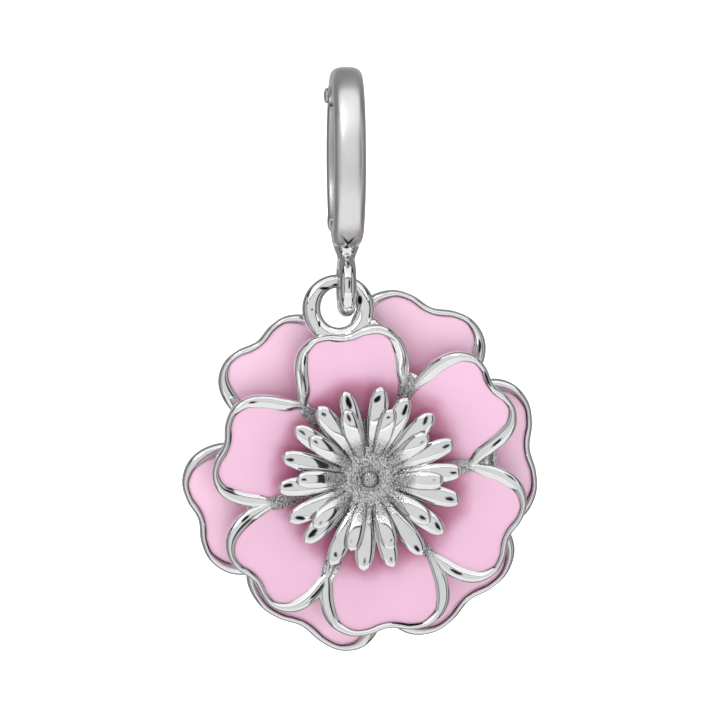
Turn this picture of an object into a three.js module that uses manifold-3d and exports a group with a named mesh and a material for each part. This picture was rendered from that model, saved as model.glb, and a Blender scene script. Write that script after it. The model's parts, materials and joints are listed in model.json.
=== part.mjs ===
// A flower charm on a hinged bail: two stacked layers of enamelled petals and a crown of stamens,
// hung by a soldered loop from a bail that opens on a pin and snaps shut at its foot.
// Millimetres, +Z up, -Y is the side that faces the viewer.
// The origin is the highest point inside the bail, where it sits on a chain.
import * as THREE from "three";
import { mergeVertices } from "three/addons/utils/BufferGeometryUtils.js";
import Module from "manifold-3d";

const wasm = await Module();
wasm.setup();

// ---- Driving dimensions ----
const GAP = 0.05; // between pieces that are soldered, riveted or filled in place

// Bail: a flat-backed strap bent to an upright ellipse in the YZ plane
const BAIL_DEPTH = 3.65; // half axes of the strap's centreline
const BAIL_HEIGHT = 4.9;
const STRAP_THICKNESS = 1.1;
const STRAP_HALF_WIDTH = 0.95;
const FOOT_HALF_WIDTH = 0.84; // where the strap runs into the neck
const BAIL_CENTRE_Z = STRAP_THICKNESS / 2 - BAIL_HEIGHT;
const TAPER_ANGLES = [246, 270]; // where the strap narrows to its foot, round the ellipse from the rear
const HINGE_ANGLE = 46.5;
const FOOT_ANGLE = 293; // where the front part ends, past the lowest point
const LATCH_ANGLE = -62; // where the gate's full section ends
const LATCH_LAP = 8; // degrees that the gate's tongue reaches over the front part
const LATCH_HALF_WIDTH = 0.5;
const LATCH_DEPTH = 0.06; // the tongue takes the strap's outer part, from just outside its centreline
const THUMB_ANGLE = -57; // the gate flares here for a thumb nail
const THUMB_FLARE = 0.07;
const PIN_RADIUS = 0.4;
const PIN_HEAD_RADIUS = 0.47;
const KNUCKLE_RADIUS = 0.56;
const PIN_HEAD_HEIGHT = 0.24;
const TONGUE_HALF_WIDTH = 0.3;
const THROUGH = 2; // half length of a cutter that passes right through the strap

// Eye under the bail, in the bail's own plane
const EYE_CENTRE_Z = -12.0;
const EYE_MAJOR = 1.4;
const EYE_WIRE = 0.53;
const EYE_CENTRE_X = 0;
// Neck between the strap and the eye: level, half width and half depth, from the eye up
const NECK_LEVELS = [
  [-10.78, 0.5, 0.62],
  [-10.3, 0.56, 0.72],
  [-9.95, 0.74, 0.92],
  [-9.5, 0.9, 1.03],
  [-9.1, 0.9, 1.03],
];

// Flower, in its own plane: across, up, and out towards the viewer
const FLOWER_X = 1.35;
const FLOWER_Z = -23.41;
const FLOWER_Y = -0.92; // puts the centre of mass under the bail, so that the flower hangs plumb
const LOWER_SHIFT = [-0.24, 0.14]; // the back layer's centre from the front layer's
const CROWN_SHIFT = [-0.06, -0.15];

// Half of a petal's outline, from the notch at its tip to its root:
// across as a share of the half width, along as a share of the length
const HALF_PETAL = [
  [0, 0.96],
  [0.32, 0.985],
  [0.62, 0.975],
  [0.88, 0.905],
  [1.0, 0.795],
  [0.97, 0.66],
  [0.76, 0.5],
  [0.46, 0.34],
  [0.18, 0.27],
];
// The same points where a side stays broad down to its root
const BROAD_HALF_PETAL = [
  [0, 0.96],
  [0.32, 0.985],
  [0.62, 0.975],
  [0.88, 0.905],
  [1.0, 0.795],
  [1.02, 0.65],
  [0.99, 0.52],
  [0.72, 0.37],
  [0.26, 0.27],
];
// Each petal's direction in degrees, its length and half width, how much longer its left side is,
// and how broad its left and right sides stay, from 0 to 1
const UPPER_PETALS = [
  { at: 98.3, length: 9.0, half: 3.46, lean: 0, broad: [1, 0.3] },
  { at: 36.5, length: 9.6, half: 3.3, lean: 0, broad: [0.3, 1] },
  { at: -24, length: 9.54, half: 3.6, lean: 0, broad: [0.3, 0.1] },
  { at: -83, length: 9.6, half: 3.9, lean: 0, broad: [0, 0.3] },
  { at: -138.5, length: 9.8, half: 3.45, lean: 0, broad: [0.1, 0] },
  { at: 167, length: 9.4, half: 3.4, lean: 0.02, broad: [0.5, 1] },
];
const LOWER_PETALS = [
  { at: 129.5, length: 10.6, half: 3.8, lean: 0.018, broad: [0, 0] },
  { at: 67.5, length: 11.1, half: 4.15, lean: -0.01, broad: [0, 0] },
  { at: 7.5, length: 10.5, half: 4.45, lean: 0.02, broad: [0, 0] },
  { at: -51, length: 10.55, half: 4.5, lean: 0, broad: [0, 0] },
  { at: -112, length: 10.0, half: 4.3, lean: 0.085, broad: [0, 0] },
  { at: -167.5, length: 10.65, half: 3.9, lean: -0.024, broad: [0, 0] },
];
// A layer's enamel rises from its level at the root by its rise at the tip
const UPPER_LAYER = { level: -0.35, rise: 1.15, reach: 9.5, thick: 0.9, rimRoot: 0.36 };
const LOWER_LAYER = { level: -1.96, rise: 0.65, reach: 10.6, thick: 0.58, rimRoot: 0.8 };
const PETAL_ROOT = 3; // radius at which the petals start to rise
const PETAL_MIDDLE = 0.66; // a petal's middle, as a share of its length
const PETAL_SEGMENTS = 20;
const RIM_HEIGHT = 0.22;
const RIM_TIP = 0.42; // rim's width at the tip and along the sides; a layer's rimRoot is its width inwards
const RIM_SIDE = 0.86;
const RIM_ROOT_SHARES = [0.46, 0.66]; // shares of the length between which the root width gives way
const CELL_DEPTH = 0.32;
const ENAMEL_CROWN = 0.04;

const HUB_RADIUS = 3.3;
const WEB_RADIUS = 7.2; // metal between the front petals reaches this far out
const RIVET_RADIUS = 0.7;
const RIVET_HEAD = 1.0;
const BACK_FACE = -2.86; // the flat face on the back of the flower
const BACK_RADIUS = 3.0;
const COLLAR_RADIUS = 2.2;

// Loop: a band as thick as its wire, wider in its own plane at the sides than at its top
const LOOP_CENTRE = [-1.85, 10.08, -0.5];
const LOOP_HALF = [1.63, 1.69]; // half axes of the wire's centreline, across and up
const LOOP_WIRE = 0.46;
const LOOP_SIDE_BAND = 0.56;
const LOOP_TOP_BAND = 0.41;
const LOOP_LEAN = 14; // degrees that its top leans back

// Crown: two rings of stamens on a dished boss
const OUTER_RING = { count: 18, start: 5, root: 1, tip: 5.5, levels: [0.1, 1.15], halfWidth: 0.52 };
const INNER_RING = { count: 10, start: 1, root: 1, tip: 4.4, levels: [0.35, 1.65], halfWidth: 0.48 };
const STAMEN_STEPS = [0.06, 0.55, 0.92]; // shares of a stamen's length
const STAMEN_SIDES = 6;
const STAMEN_FLATNESS = 0.65;
// The boss: radius and level, from its back to the nub in its middle
const BOSS_PROFILE = [
  [0, -0.24],
  [1.5, -0.24],
  [3.9, 0.5],
  [4.05, 0.66],
  [3.9, 0.8],
  [2.4, 0.72],
  [1.1, 0.78],
  [0.45, 0.85],
  [0.2, 1.0],
  [0, 1.04],
];

const silver = () =>
  new THREE.MeshStandardMaterial({ color: 0xd6d7d9, metalness: 1, roughness: 0.12 });
const enamel = (color) =>
  new THREE.MeshStandardMaterial({ color, metalness: 0, roughness: 0.15 });

// ---- Solids ----
const radians = THREE.MathUtils.degToRad;

function solid(geometry) {
  const bare = geometry.clone();
  bare.deleteAttribute("normal");
  bare.deleteAttribute("uv");
  const merged = mergeVertices(bare, 1e-4);
  return new wasm.Manifold(
    new wasm.Mesh({
      numProp: 3,
      vertProperties: new Float32Array(merged.attributes.position.array),
      triVerts: new Uint32Array(merged.index.array),
    }),
  );
}

const join = (...solids) => solids.reduce((whole, piece) => whole.add(piece));

function mesh(name, shape, material) {
  const made = shape.getMesh();
  const geometry = new THREE.BufferGeometry();
  geometry.setAttribute("position", new THREE.BufferAttribute(made.vertProperties, 3));
  geometry.setIndex(new THREE.BufferAttribute(made.triVerts, 1));
  const piece = new THREE.Mesh(geometry, material);
  piece.name = name;
  return piece;
}

// A closed skin over rings of the same number of points, with a point at each end.
// The rings turn anticlockwise seen from the last one.
function skin(rings, first, last) {
  const count = rings[0].length;
  const points = [first, ...rings.flat(), last];
  const faces = [];
  const at = (ring, i) => 1 + ring * count + (i % count);
  for (let i = 0; i < count; i++) {
    faces.push(0, at(0, i + 1), at(0, i));
    for (let ring = 0; ring + 1 < rings.length; ring++) {
      faces.push(at(ring, i), at(ring, i + 1), at(ring + 1, i + 1));
      faces.push(at(ring, i), at(ring + 1, i + 1), at(ring + 1, i));
    }
    faces.push(points.length - 1, at(rings.length - 1, i), at(rings.length - 1, i + 1));
  }
  const geometry = new THREE.BufferGeometry();
  const flat = new Float32Array(points.flatMap((p) => [p.x, p.y, p.z]));
  geometry.setAttribute("position", new THREE.BufferAttribute(flat, 3));
  geometry.setIndex(faces);
  return solid(geometry);
}

// A round solid about the X axis
function pinAlongX(radius, from, to, y, z, sides = 16) {
  const geometry = new THREE.CylinderGeometry(radius, radius, to - from, sides);
  geometry.rotateZ(Math.PI / 2).translate((from + to) / 2, y, z);
  return solid(geometry);
}

// A round solid about the flower's own axis, from the back level to the front one
function disc(radius, back, front, sides = 28) {
  const geometry = new THREE.CylinderGeometry(radius, radius, front - back, sides);
  geometry.rotateX(Math.PI / 2).translate(0, 0, (back + front) / 2);
  return solid(geometry);
}

// ---- Bail ----
const onBail = (degrees, out, x) =>
  new THREE.Vector3(
    x,
    (BAIL_DEPTH + out) * Math.cos(radians(degrees)),
    BAIL_CENTRE_Z + (BAIL_HEIGHT + out) * Math.sin(radians(degrees)),
  );
const PIN = onBail(HINGE_ANGLE, 0, 0);

// The strap's section is flat inside with a rounded outer face
function strapSection(halfWidth, inner, outer) {
  const middle = (inner + outer) / 2;
  return [
    [0.85 * halfWidth, inner],
    [halfWidth, inner + 0.2],
    [halfWidth, middle + 0.05],
    [0.72 * halfWidth, outer - 0.14],
    [0.3 * halfWidth, outer],
    [-0.3 * halfWidth, outer],
    [-0.72 * halfWidth, outer - 0.14],
    [-halfWidth, middle + 0.05],
    [-halfWidth, inner + 0.2],
    [-0.85 * halfWidth, inner],
  ];
}

function strap(from, to, steps, halfWidthAt, inner, outer) {
  const rings = [];
  for (let i = 0; i <= steps; i++) {
    const angle = THREE.MathUtils.lerp(from, to, i / steps);
    const section = strapSection(halfWidthAt(angle), inner, outer);
    rings.push(section.map(([x, out]) => onBail(angle, out, x)));
  }
  return skin(rings, onBail(from, (inner + outer) / 2, 0), onBail(to, (inner + outer) / 2, 0));
}

const FULL = [-STRAP_THICKNESS / 2, STRAP_THICKNESS / 2];

// The front part narrows towards the neck, and the gate's foot flares into a thumb catch
const frontHalfWidth = (angle) =>
  THREE.MathUtils.lerp(
    STRAP_HALF_WIDTH,
    FOOT_HALF_WIDTH,
    THREE.MathUtils.smoothstep(angle, ...TAPER_ANGLES),
  );
const gateHalfWidth = (angle) =>
  STRAP_HALF_WIDTH + THUMB_FLARE * Math.exp(-(((angle - THUMB_ANGLE) / 7) ** 2));

function bailFront() {
  const arch = strap(HINGE_ANGLE, FOOT_ANGLE, 28, frontHalfWidth, ...FULL);
  const knuckle = pinAlongX(KNUCKLE_RADIUS, -STRAP_HALF_WIDTH, STRAP_HALF_WIDTH, PIN.y, PIN.z);
  const slotHalf = TONGUE_HALF_WIDTH + 0.06;
  const slot = pinAlongX(KNUCKLE_RADIUS + 0.1, -slotHalf, slotHalf, PIN.y, PIN.z);
  const hole = pinAlongX(PIN_RADIUS + GAP, -THROUGH, THROUGH, PIN.y, PIN.z);
  const seatStart = LATCH_ANGLE + 360 - LATCH_LAP - 1;
  const latchSeat = strap(seatStart, FOOT_ANGLE + 3, 4, () => 1.2, LATCH_DEPTH - 0.08, 0.8);
  return join(arch, knuckle).subtract(slot).subtract(hole).subtract(latchSeat).add(eyeAndNeck());
}

function eyeAndNeck() {
  const eye = new THREE.TorusGeometry(EYE_MAJOR, EYE_WIRE, 9, 22);
  eye.rotateY(Math.PI / 2).translate(EYE_CENTRE_X, 0, EYE_CENTRE_Z);
  const rings = NECK_LEVELS.map(([z, halfX, halfY]) =>
    Array.from({ length: 16 }, (_, i) => {
      const turn = (i / 16) * 2 * Math.PI;
      return new THREE.Vector3(EYE_CENTRE_X + halfX * Math.cos(turn), halfY * Math.sin(turn), z);
    }),
  );
  const end = (level) => new THREE.Vector3(EYE_CENTRE_X, 0, level[0]);
  return join(solid(eye), skin(rings, end(NECK_LEVELS[0]), end(NECK_LEVELS.at(-1))));
}

function bailGate() {
  const body = strap(LATCH_ANGLE, HINGE_ANGLE, 14, gateHalfWidth, ...FULL);
  const clear = pinAlongX(KNUCKLE_RADIUS + 0.08, -THROUGH, THROUGH, PIN.y, PIN.z);
  const tongue = join(
    pinAlongX(KNUCKLE_RADIUS, -TONGUE_HALF_WIDTH, TONGUE_HALF_WIDTH, PIN.y, PIN.z),
    strap(HINGE_ANGLE - 12, HINGE_ANGLE, 3, () => TONGUE_HALF_WIDTH, ...FULL),
  );
  const hole = pinAlongX(PIN_RADIUS + GAP, -THROUGH, THROUGH, PIN.y, PIN.z);
  const lapStart = LATCH_ANGLE - LATCH_LAP;
  const lap = strap(lapStart, LATCH_ANGLE + 2, 3, () => LATCH_HALF_WIDTH, LATCH_DEPTH, FULL[1]);
  return join(body.subtract(clear), tongue, lap).subtract(hole);
}

// The pin is flush on one side and has a low domed head on the other
function hingePin() {
  const flush = STRAP_HALF_WIDTH;
  const profile = [
    new THREE.Vector2(0, -flush),
    new THREE.Vector2(PIN_RADIUS, -flush),
    new THREE.Vector2(PIN_RADIUS, flush + 0.04),
    new THREE.Vector2(PIN_HEAD_RADIUS, flush + 0.04),
    new THREE.Vector2(PIN_HEAD_RADIUS * 0.85, flush + 0.6 * PIN_HEAD_HEIGHT),
    new THREE.Vector2(PIN_HEAD_RADIUS * 0.45, flush + 0.9 * PIN_HEAD_HEIGHT),
    new THREE.Vector2(0, flush + PIN_HEAD_HEIGHT),
  ];
  const geometry = new THREE.LatheGeometry(profile, 16);
  geometry.rotateZ(Math.PI / 2).translate(0, PIN.y, PIN.z);
  return solid(geometry);
}

// ---- Petals ----
function petalCurve([broadLeft, broadRight]) {
  const side = (broad, sign) =>
    HALF_PETAL.map(([x, y], i) => {
      const [broadX, broadY] = BROAD_HALF_PETAL[i];
      const across = THREE.MathUtils.lerp(x, broadX, broad);
      return new THREE.Vector3(sign * across, THREE.MathUtils.lerp(y, broadY, broad), 0);
    });
  const points = [...side(broadRight, 1), ...side(broadLeft, -1).slice(1).reverse()];
  return new THREE.CatmullRomCurve3(points, true, "catmullrom", 0.5);
}

const layerLevel = (layer, radius) => {
  const share = THREE.MathUtils.clamp((radius - PETAL_ROOT) / (layer.reach - PETAL_ROOT), 0, 1.2);
  return layer.level + layer.rise * share ** 1.3;
};

// A petal's outline with its inward normals and rim widths, anticlockwise, with the petal pointing up
function petalOutline(petal, layer) {
  const curve = petalCurve(petal.broad);
  const points = [];
  for (let i = 0; i < PETAL_SEGMENTS; i++) {
    const p = curve.getPoint(1 - i / PETAL_SEGMENTS);
    points.push(
      new THREE.Vector2(p.x * petal.half, p.y * petal.length * (1 - petal.lean * p.x)),
    );
  }
  return points.map((point, i) => {
    const before = points.at(i - 1);
    const after = points[(i + 1) % points.length];
    const along = after.clone().sub(before).normalize();
    const inward = new THREE.Vector2(-along.y, along.x);
    const outerWidth = THREE.MathUtils.lerp(RIM_TIP, RIM_SIDE, inward.x ** 2);
    const outwards = THREE.MathUtils.smoothstep(point.y / petal.length, ...RIM_ROOT_SHARES);
    return { point, inward, rim: THREE.MathUtils.lerp(layer.rimRoot, outerWidth, outwards) };
  });
}

// One ring of a petal: the outline moved inwards, then drawn in towards the petal's middle
function petalRing(petal, layer, outline, inset, shrink, lift) {
  const middle = new THREE.Vector2(0, petal.length * PETAL_MIDDLE);
  const turn = radians(petal.at - 90);
  return outline.map(({ point, inward, rim }) => {
    const p = point.clone().addScaledVector(inward, inset(rim));
    p.lerp(middle, shrink);
    const radius = p.length();
    p.rotateAround(new THREE.Vector2(), turn);
    return new THREE.Vector3(p.x, p.y, layerLevel(layer, radius) + lift);
  });
}

function petalMiddle(petal, layer, lift) {
  const radius = petal.length * PETAL_MIDDLE;
  const turn = radians(petal.at);
  return new THREE.Vector3(
    radius * Math.cos(turn),
    radius * Math.sin(turn),
    layerLevel(layer, radius) + lift,
  );
}

function petalBody(petal, layer) {
  const outline = petalOutline(petal, layer);
  const ring = (inset, shrink, lift) => petalRing(petal, layer, outline, inset, shrink, lift);
  const rings = [
    ring(() => 0.9, 0.1, -layer.thick),
    ring(() => 0.2, 0, 0.1 - layer.thick),
    ring(() => 0, 0, -0.3),
    ring((rim) => 0.4 * rim, 0, RIM_HEIGHT),
    ring((rim) => rim - 0.04, 0, 0.6 * RIM_HEIGHT),
    ring((rim) => rim, 0, -CELL_DEPTH),
  ];
  return skin(rings, petalMiddle(petal, layer, -layer.thick), petalMiddle(petal, layer, -CELL_DEPTH));
}

function petalEnamel(petal, layer) {
  const outline = petalOutline(petal, layer);
  const inset = (rim) => rim + GAP;
  const ring = (shrink, lift) => petalRing(petal, layer, outline, inset, shrink, lift);
  const rings = [ring(0.02, GAP - CELL_DEPTH), ring(0, 0), ring(0.35, ENAMEL_CROWN)];
  const low = petalMiddle(petal, layer, GAP - CELL_DEPTH);
  return skin(rings, low, petalMiddle(petal, layer, ENAMEL_CROWN));
}

const rivetHole = () => disc(RIVET_RADIUS + GAP, -4, 0.2, 20);

// The front layer: six cells on a hub, joined by a thin web of metal
function upperPetals() {
  const bodies = UPPER_PETALS.map((petal) => petalBody(petal, UPPER_LAYER));
  const back = UPPER_LAYER.level - UPPER_LAYER.thick;
  const hub = disc(HUB_RADIUS, back, UPPER_LAYER.level + 0.02);
  const web = disc(WEB_RADIUS, back + 0.1, UPPER_LAYER.level - 0.02, 36);
  const enamelRoom = UPPER_PETALS.map((petal) => enamelSocket(petal, UPPER_LAYER));
  return join(hub, web, ...bodies)
    .subtract(join(...enamelRoom))
    .subtract(rivetHole())
    .subtract(loopSolid(GAP));
}

// The room that a petal's enamel fills
function enamelSocket(petal, layer) {
  const outline = petalOutline(petal, layer);
  const ring = (lift) => petalRing(petal, layer, outline, (rim) => rim, 0, lift);
  const low = petalMiddle(petal, layer, -CELL_DEPTH);
  return skin([ring(-CELL_DEPTH), ring(0.4)], low, petalMiddle(petal, layer, 0.4));
}

// The back layer, with a flat boss behind it and a collar that carries the front layer
function lowerPetals() {
  const bodies = LOWER_PETALS.map((petal) => petalBody(petal, LOWER_LAYER));
  const hub = disc(HUB_RADIUS + 1, LOWER_LAYER.level - LOWER_LAYER.thick, LOWER_LAYER.level - 0.1);
  const enamelRoom = LOWER_PETALS.map((petal) => enamelSocket(petal, LOWER_LAYER));
  const layer = join(hub, ...bodies).subtract(join(...enamelRoom));
  const placed = layer.translate([...LOWER_SHIFT, 0]);
  const boss = disc(BACK_RADIUS, BACK_FACE, LOWER_LAYER.level - 0.4);
  const collar = disc(COLLAR_RADIUS, LOWER_LAYER.level - 0.5, UPPER_LAYER.level - UPPER_LAYER.thick - GAP);
  const sink = disc(RIVET_HEAD + GAP, BACK_FACE - 1, BACK_FACE + 0.4, 24);
  return join(placed, boss, collar).subtract(rivetHole()).subtract(sink);
}

// The rivet that holds the layers together: a tail spread in the boss and a plain shank
function centreRivet() {
  const shank = disc(RIVET_RADIUS, BACK_FACE + 0.05, UPPER_LAYER.level - 0.1, 20);
  const tail = disc(RIVET_HEAD, BACK_FACE + 0.03, BACK_FACE + 0.35, 24);
  return join(shank, tail);
}

// ---- Hanging loop ----
function loopSolid(extra = 0) {
  const ring = new THREE.TorusGeometry(1, LOOP_WIRE + extra, 9, 24);
  const position = ring.attributes.position;
  for (let i = 0; i < position.count; i++) {
    const turn = Math.atan2(position.getY(i), position.getX(i));
    const [across, up] = LOOP_HALF;
    const topness = Math.max(0, Math.sin(turn)) ** 2;
    const band = THREE.MathUtils.lerp(LOOP_SIDE_BAND, LOOP_TOP_BAND, topness) + extra;
    const inPlane = Math.hypot(position.getX(i), position.getY(i)) - 1;
    const out = (inPlane * band) / (LOOP_WIRE + extra);
    position.setX(i, (across + out) * Math.cos(turn));
    position.setY(i, (up + out) * Math.sin(turn));
  }
  ring.rotateX(-radians(LOOP_LEAN)).translate(...LOOP_CENTRE);
  return solid(ring);
}

// ---- Stamens ----
// One stamen: a long grain that rises from its root, fattest past its middle, with a rounded tip
function stamen(ring, turn) {
  const [rootLevel, tipLevel] = ring.levels;
  const middle = (share) => {
    const radius = THREE.MathUtils.lerp(ring.root, ring.tip, share);
    const level = THREE.MathUtils.lerp(rootLevel, tipLevel, share ** 0.8);
    return new THREE.Vector3(radius, 0, level);
  };
  const spread = (share) => ring.halfWidth * Math.sqrt(1 - Math.abs(2 * share - 1) ** 4);
  const rings = STAMEN_STEPS.map((share) =>
    Array.from({ length: STAMEN_SIDES }, (_, i) => {
      const around = (i / STAMEN_SIDES) * 2 * Math.PI;
      const p = middle(share);
      p.y += spread(share) * Math.cos(around);
      p.z += spread(share) * STAMEN_FLATNESS * Math.sin(around);
      return p;
    }),
  );
  return skin(rings, middle(0), middle(1)).rotate([0, 0, turn]);
}

const stamenRing = (ring) =>
  Array.from({ length: ring.count }, (_, i) => stamen(ring, ring.start + (i * 360) / ring.count));

function stamenCrown() {
  const boss = new THREE.LatheGeometry(
    BOSS_PROFILE.map(([radius, level]) => new THREE.Vector2(radius, level)),
    36,
  );
  boss.rotateX(Math.PI / 2);
  return join(solid(boss), ...stamenRing(OUTER_RING), ...stamenRing(INNER_RING)).translate([
    ...CROWN_SHIFT,
    0,
  ]);
}

// ---- The charm ----
const charm = new THREE.Group();
charm.name = "flower_charm";
charm.add(mesh("bail_front", bailFront(), silver()));
charm.add(mesh("bail_gate", bailGate(), silver()));
charm.add(mesh("hinge_pin", hingePin(), silver()));

// The flower is drawn flat and stood up to face the viewer
const flower = new THREE.Group();
flower.position.set(FLOWER_X, FLOWER_Y, FLOWER_Z);
flower.rotation.x = Math.PI / 2;
charm.add(flower);
flower.add(mesh("upper_petals", upperPetals(), silver()));
flower.add(mesh("lower_petals", lowerPetals(), silver()));
flower.add(mesh("centre_rivet", centreRivet(), silver()));
flower.add(mesh("hanging_loop", loopSolid(), silver()));
flower.add(mesh("stamen_crown", stamenCrown(), silver()));
UPPER_PETALS.forEach((petal, i) => {
  flower.add(mesh(`upper_enamel_${i + 1}`, petalEnamel(petal, UPPER_LAYER), enamel(0xf4c2dd)));
});
LOWER_PETALS.forEach((petal, i) => {
  const piece = petalEnamel(petal, LOWER_LAYER).translate([...LOWER_SHIFT, 0]);
  flower.add(mesh(`lower_enamel_${i + 1}`, piece, enamel(0xe9b4d0)));
});

export default charm;
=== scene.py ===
"""Looks of a flower charm on a hinged bail: cast metal, pink enamel and a granulated stamen crown.

Sizes are in millimetres until a piece is made. The flower is shaped in its own plane (across, up,
and out towards the viewer) and then stood up where the frame has it.
"""

import json
import math

import bpy
import numpy as np
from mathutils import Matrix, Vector, noise

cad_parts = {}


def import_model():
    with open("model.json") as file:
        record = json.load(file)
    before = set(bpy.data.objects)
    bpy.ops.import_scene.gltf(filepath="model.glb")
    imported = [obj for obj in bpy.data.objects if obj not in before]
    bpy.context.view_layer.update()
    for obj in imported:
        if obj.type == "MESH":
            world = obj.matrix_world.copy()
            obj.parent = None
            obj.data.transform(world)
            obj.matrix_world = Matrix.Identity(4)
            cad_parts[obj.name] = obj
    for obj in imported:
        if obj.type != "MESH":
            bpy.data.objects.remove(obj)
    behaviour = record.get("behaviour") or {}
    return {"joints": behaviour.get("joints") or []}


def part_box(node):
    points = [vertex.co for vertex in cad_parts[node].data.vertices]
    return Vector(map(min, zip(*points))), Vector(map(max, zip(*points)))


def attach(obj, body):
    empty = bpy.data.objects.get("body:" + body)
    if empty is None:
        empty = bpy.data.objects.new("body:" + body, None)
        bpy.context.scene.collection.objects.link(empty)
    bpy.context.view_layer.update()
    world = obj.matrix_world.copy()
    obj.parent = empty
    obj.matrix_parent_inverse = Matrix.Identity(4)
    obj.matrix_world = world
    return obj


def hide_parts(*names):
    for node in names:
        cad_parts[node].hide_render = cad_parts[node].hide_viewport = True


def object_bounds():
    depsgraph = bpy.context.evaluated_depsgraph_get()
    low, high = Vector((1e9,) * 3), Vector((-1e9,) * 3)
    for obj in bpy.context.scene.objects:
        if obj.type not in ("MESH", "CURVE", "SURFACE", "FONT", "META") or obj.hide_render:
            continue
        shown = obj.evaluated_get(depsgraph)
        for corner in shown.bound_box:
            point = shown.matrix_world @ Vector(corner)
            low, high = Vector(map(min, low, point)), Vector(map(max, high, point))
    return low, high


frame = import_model()
CAD_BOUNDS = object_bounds()
MM = 0.001

# ---- Places taken from the frame ----


def box_mm(node):
    """A CAD node's lowest and highest corners."""
    low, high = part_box(node)
    return np.array(low) / MM, np.array(high) / MM


def joint_mm(name):
    """The middle of a joint's axis."""
    joint = next(j for j in frame["joints"] if j["name"] == name)
    return np.array(joint["pos_m"]) / MM


PIN = joint_mm("gate_hinge")
LINK = joint_mm("flower_swing")
RIVET_LOW, RIVET_HIGH = box_mm("centre_rivet")
LOOP_LOW, LOOP_HIGH = box_mm("hanging_loop")
FRONT_LOW, FRONT_HIGH = box_mm("bail_front")
GATE_HIGH = box_mm("bail_gate")[1]
BACK_Y = box_mm("lower_petals")[1][1]

# ---- Sizes of the bail ----

STRAP = 1.1
STRAP_HALF_WIDTH = FRONT_HIGH[0]
STRAP_POINTS = 44
# How square the strap's section is outside and inside, and the share of it below the crown
CROWN_POWER = 2.8
FLAT_POWER = 6
CROWN_START = 0.38
FOOT_HALF_WIDTH = 0.86
# Angles between which the strap narrows to its foot
FOOT_TAPER = (246, 270)
# Level below which the bail is polished instead of satin
POLISH_TOP = -9.4
BAIL_TOP = FRONT_HIGH[2]
BAIL_HALF_DEPTH = (GATE_HIGH[1] - FRONT_LOW[1] - STRAP) / 2
BAIL_HALF_HEIGHT = 4.9
BAIL_CENTRE = (0.0, (GATE_HIGH[1] + FRONT_LOW[1]) / 2, BAIL_TOP - STRAP / 2 - BAIL_HALF_HEIGHT)
# Angles round the bail's oval, anticlockwise from its back
HINGE_ANGLE = 46.5
FOOT_ANGLE = 293
LATCH_ANGLE = -62
LATCH_LAP = 8
KNUCKLE_RADIUS = 0.56
TONGUE_HALF_WIDTH = 0.3
PIN_RADIUS = 0.4
PIN_PLAY = 0.05
PIN_HEAD_RADIUS = 0.47
# The gate's thumb catch: its bulge to each side, its angle, and the degrees that it fades over
CATCH_BULGE = 0.07
CATCH_ANGLE = -57
CATCH_FADE = 7
# Half the length of a bar that cuts right through the bail
THROUGH = 2.0
EYE_MAJOR = 1.4
EYE_WIRE = 0.53
# Neck between the strap and the eye: level above the eye's middle, half width and half depth
NECK_LEVELS = [
    (1.22, 0.52, 0.62),
    (1.7, 0.56, 0.72),
    (2.05, 0.7, 0.92),
    (2.5, 0.84, 1.03),
    (2.9, 0.9, 1.03),
]

# ---- Sizes of the flower ----

BACK_LEVEL = -2.86
RIVET_MIDDLE = (RIVET_LOW + RIVET_HIGH) / 2
FLOWER = np.array([RIVET_MIDDLE[0], BACK_Y + BACK_LEVEL, RIVET_MIDDLE[2]])
LOWER_SHIFT = np.array([-0.24, 0.14, 0.0])
CROWN_SHIFT = np.array([-0.06, -0.15, 0.0])

# Half of a petal's outline, from the notch at its tip to its root, in half widths and lengths
HALF_PETAL = [
    (0, 0.96),
    (0.32, 0.985),
    (0.62, 0.975),
    (0.88, 0.905),
    (1.0, 0.795),
    (0.97, 0.66),
    (0.76, 0.5),
    (0.46, 0.34),
    (0.18, 0.27),
]
# The same points where a side stays broad down to its root
BROAD_HALF_PETAL = [
    (0, 0.96),
    (0.32, 0.985),
    (0.62, 0.975),
    (0.88, 0.905),
    (1.0, 0.795),
    (1.02, 0.65),
    (0.99, 0.52),
    (0.72, 0.37),
    (0.26, 0.27),
]
# Direction in degrees, length, half width, how much longer the left side is, and how broad the left
# and right sides stay, from 0 to 1
UPPER_PETALS = [
    (99.4, 9.0, 3.46, 0.0, 1, 0.3),
    (36.5, 9.6, 3.3, 0.0, 0.3, 1),
    (-24, 9.54, 3.6, 0.0, 0.3, 0.1),
    (-83, 9.6, 3.9, 0.0, 0, 0.3),
    (-138.5, 9.8, 3.45, 0.0, 0.1, 0),
    (167, 9.4, 3.4, 0.02, 0.5, 1),
]
LOWER_PETALS = [
    (129.5, 10.6, 3.8, 0.018, 0, 0),
    (67.5, 11.1, 4.15, -0.01, 0, 0),
    (7.5, 10.5, 4.45, 0.02, 0, 0),
    (-51, 10.55, 4.5, 0.0, 0, 0),
    (-112, 10.5, 4.4, 0.055, 0, 0),
    (-164, 10.82, 4.05, -0.02, 0, 0),
]
# Radius at which the metal web between a front petal and the next one ends
VALLEY_ENDS = (6.7, 7.75, 7.4, 7.4, 7.7, 6.3)
# Radius at which the web's granules have faded into polished metal
GRANULE_ENDS = (6.9, 7.5, 7.2, 6.2, 6.6, 6.4)
GRANULE_FADE = 0.6
VALLEY_START = 2.6
VALLEY_STEP = 0.05
VALLEY_POINTS = 41
VALLEY_DEPTH = 0.75
# How far the web reaches past the enamel's edge, and how much less it does further out
VALLEY_LAP = 0.15
VALLEY_LAP_LOSS = 0.1
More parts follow.
